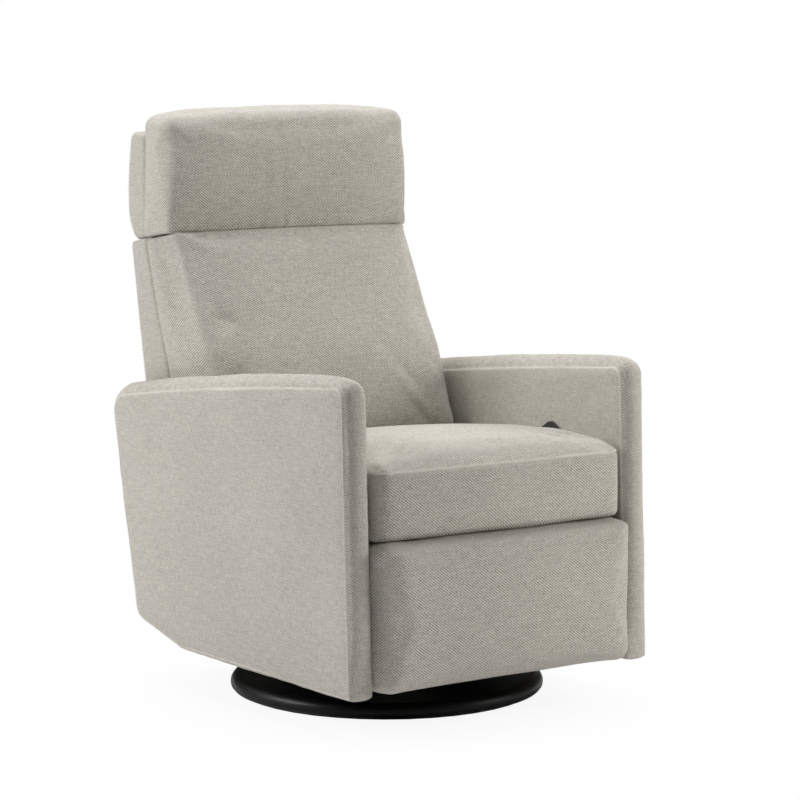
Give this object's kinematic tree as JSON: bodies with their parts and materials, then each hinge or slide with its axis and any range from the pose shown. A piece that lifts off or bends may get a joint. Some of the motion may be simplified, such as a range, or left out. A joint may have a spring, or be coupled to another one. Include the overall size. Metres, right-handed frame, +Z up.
{
  "type": "swivel glider recliner nursery chair",
  "caption": "Upholstered nursery chair that swivels and glides on a round base, with a lever-released swing-out footrest, a reclining back and a tilting headrest.",
  "frame": {"origin": "centre of the floor pad's underside, on the swivel axis", "axes": "+Z up, -Y is the way the sitter faces, +X is the sitter's left, when the chair faces straight ahead"},
  "size_m": [0.68, 0.8749, 1.085],
  "materials": {
    "upholstery": "light warm grey twill",
    "disc_lacquer": "satin black lacquer",
    "black_steel": "semi-gloss black powder coat",
    "zinc_steel": "zinc plated",
    "plywood": "unfinished birch plywood",
    "rubber_pad": "matte",
    "black_plastic": "fine-grained",
    "cable_sheath": "smooth"
  },
  "bodies": {
    "base": {"floor_pad": "rubber_pad", "base_disc": "disc_lacquer", "swivel_lower_plate": "zinc_steel", "swivel_ball_race": "zinc_steel"},
    "swivel": {"swivel_upper_plate": "black_steel", "glide_stand_right": "black_steel", "glide_stand_left": "black_steel", "glide_shaft_front": "zinc_steel", "glide_shaft_rear": "zinc_steel"},
    "rear_links": {"glide_link_rear_right": "zinc_steel", "glide_link_rear_left": "zinc_steel"},
    "front_links": {"glide_link_front_right": "zinc_steel", "glide_link_front_left": "zinc_steel"},
    "chair": {"carriage_plate_right": "black_steel", "carriage_plate_left": "black_steel", "carriage_cross_front": "black_steel", "carriage_cross_rear": "black_steel", "seat_rail_right": "plywood", "seat_rail_left": "plywood", "seat_front_rail": "plywood", "seat_rear_rail": "plywood", "seat_deck": "plywood", "seat_spring_left": "zinc_steel", "seat_spring_middle": "zinc_steel", "seat_spring_right": "zinc_steel", "seat_cushion": "upholstery", "arm_right": "upholstery", "arm_left": "upholstery", "arm_board_right": "plywood", "arm_board_left": "plywood", "rear_panel": "upholstery", "footrest_slot_plate_right": "black_steel", "footrest_slot_plate_left": "black_steel", "recline_plate_right": "black_steel", "recline_plate_left": "black_steel", "lever_housing": "black_plastic", "release_cable": "cable_sheath", "latch_case": "black_steel"},
    "cranks": {"footrest_drive_tube": "black_steel", "footrest_crank_right": "black_steel", "footrest_crank_left": "black_steel"},
    "swing_links": {"footrest_swing_link_right": "black_steel", "footrest_swing_link_left": "black_steel"},
    "tie_links": {"footrest_tie_link_right": "black_steel", "footrest_tie_link_left": "black_steel"},
    "footrest": {"footrest_board": "plywood", "footrest_pad": "upholstery", "footrest_bracket_right": "black_steel", "footrest_bracket_left": "black_steel"},
    "back": {"back_pad": "upholstery", "back_shell": "upholstery", "back_board": "plywood", "back_bracket_right": "black_steel", "back_bracket_left": "black_steel", "headrest_hinge_lower": "black_steel"},
    "headrest": {"headrest_pad": "upholstery", "headrest_shell": "upholstery", "headrest_board": "plywood", "headrest_hinge_upper": "black_steel"},
    "lever": {"release_lever": "black_plastic"}
  },
  "joints": [
    {"name": "swivel_turn", "type": "hinge", "parent": "base", "child": "swivel", "pos_m": [0, 0, 0.04], "axis": [0, 0, 1], "continuous": true},
    {"name": "glide", "type": "hinge", "parent": "swivel", "child": "rear_links", "pos_m": [0, 0.12, 0.225], "axis": [1, 0, 0], "range_deg": [-26, 26]},
    {"name": "glide_rear_low", "type": "hinge", "parent": "rear_links", "child": "chair", "pos_m": [0, 0.12, 0.105], "axis": [1, 0, 0], "range_deg": [-26, 26]},
    {"name": "glide_front", "type": "hinge", "parent": "swivel", "child": "front_links", "pos_m": [0, -0.12, 0.225], "axis": [1, 0, 0], "range_deg": [-26, 26]},
    {"name": "footrest_open", "type": "hinge", "parent": "chair", "child": "cranks", "pos_m": [0, -0.225, 0.266], "axis": [-1, 0, 0], "range_deg": [0, 70]},
    {"name": "footrest_swing", "type": "hinge", "parent": "cranks", "child": "swing_links", "pos_m": [0, -0.26995, 0.15474], "axis": [-1, 0, 0], "range_deg": [-140, 0]},
    {"name": "footrest_tie", "type": "hinge", "parent": "cranks", "child": "tie_links", "pos_m": [0, -0.28849, 0.09767], "axis": [-1, 0, 0], "range_deg": [-140, 0]},
    {"name": "footrest_panel", "type": "hinge", "parent": "swing_links", "child": "footrest", "pos_m": [0, -0.27596, 0.32663], "axis": [-1, 0, 0], "range_deg": [0, 140]},
    {"name": "recline", "type": "hinge", "parent": "chair", "child": "back", "pos_m": [0, 0.262, 0.352], "axis": [-1, 0, 0], "range_deg": [0, 32]},
    {"name": "headrest_tilt", "type": "hinge", "parent": "back", "child": "headrest", "pos_m": [0, 0.372, 0.8607], "axis": [1, 0, 0], "range_deg": [0, 30]},
    {"name": "lever_pull", "type": "hinge", "parent": "chair", "child": "lever", "pos_m": [0.2785, -0.128, 0.4], "axis": [-1, 0, 0], "range_deg": [0, 24], "stiffness_Nm_per_rad": 1.2, "springref_deg": -14.32}
  ],
  "couplings": [
    {"joint": "glide_rear_low", "follows": "glide", "ratio": -1},
    {"joint": "glide_front", "follows": "glide", "ratio": 1},
    {"joint": "footrest_swing", "follows": "footrest_open", "ratio": -2},
    {"joint": "footrest_tie", "follows": "footrest_open", "ratio": -2},
    {"joint": "footrest_panel", "follows": "footrest_open", "ratio": 2}
  ]
}
